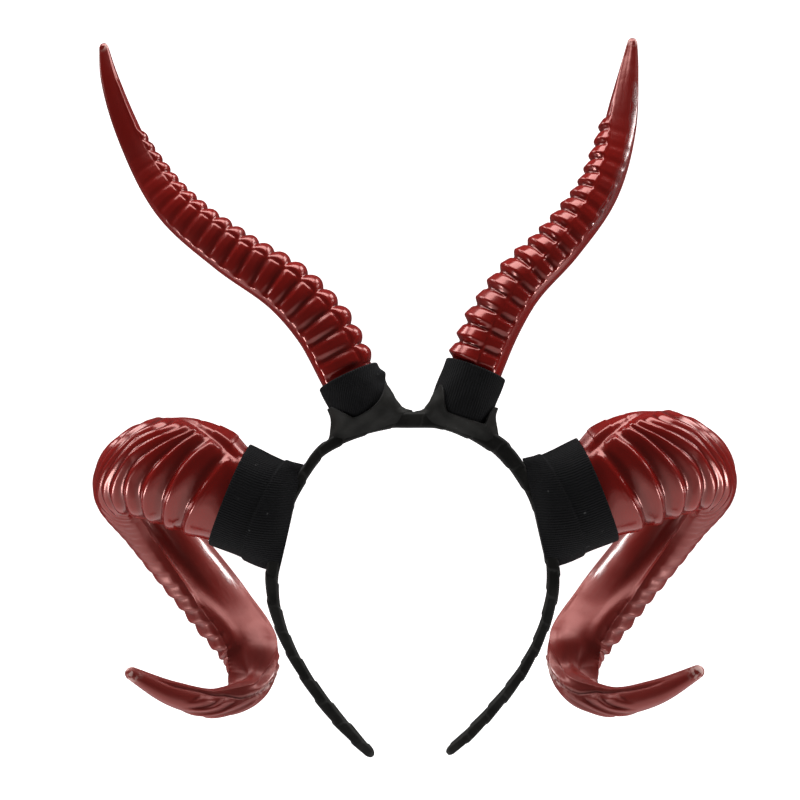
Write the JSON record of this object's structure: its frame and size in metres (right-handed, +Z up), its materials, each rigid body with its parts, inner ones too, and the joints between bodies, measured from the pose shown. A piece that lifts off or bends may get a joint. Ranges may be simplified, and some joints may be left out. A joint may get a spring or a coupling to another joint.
{
  "type": "goat horns headband",
  "caption": "Costume headband wound in black ribbon, with tall ribbed red horns on the crown and curled red ram horns at the sides, each held in a black cloth sleeve.",
  "frame": {"origin": "middle of the box's footprint, on the surface that the headband lies on", "axes": "+Z up from that surface, out of the headband's front as it lies on its back; +Y towards the tips of the upright horns; +X to the right as seen from the front"},
  "size_m": [0.3158, 0.3412, 0.0909],
  "materials": {
    "horn_red": "glossy moulded plastic",
    "sleeve_cloth": "fine ribbed cloth",
    "satin_ribbon": "satin ribbon"
  },
  "bodies": {
    "root": {"wound_band": "satin_ribbon", "upright_horn_left": "horn_red", "upright_horn_right": "horn_red", "upright_sleeve_left": "sleeve_cloth", "upright_sleeve_right": "sleeve_cloth", "foot_ribbon_left": "satin_ribbon", "foot_ribbon_right": "satin_ribbon", "ram_horn_left": "horn_red", "ram_horn_right": "horn_red", "ram_sleeve_left": "sleeve_cloth", "ram_sleeve_right": "sleeve_cloth"}
  },
  "joints": []
}
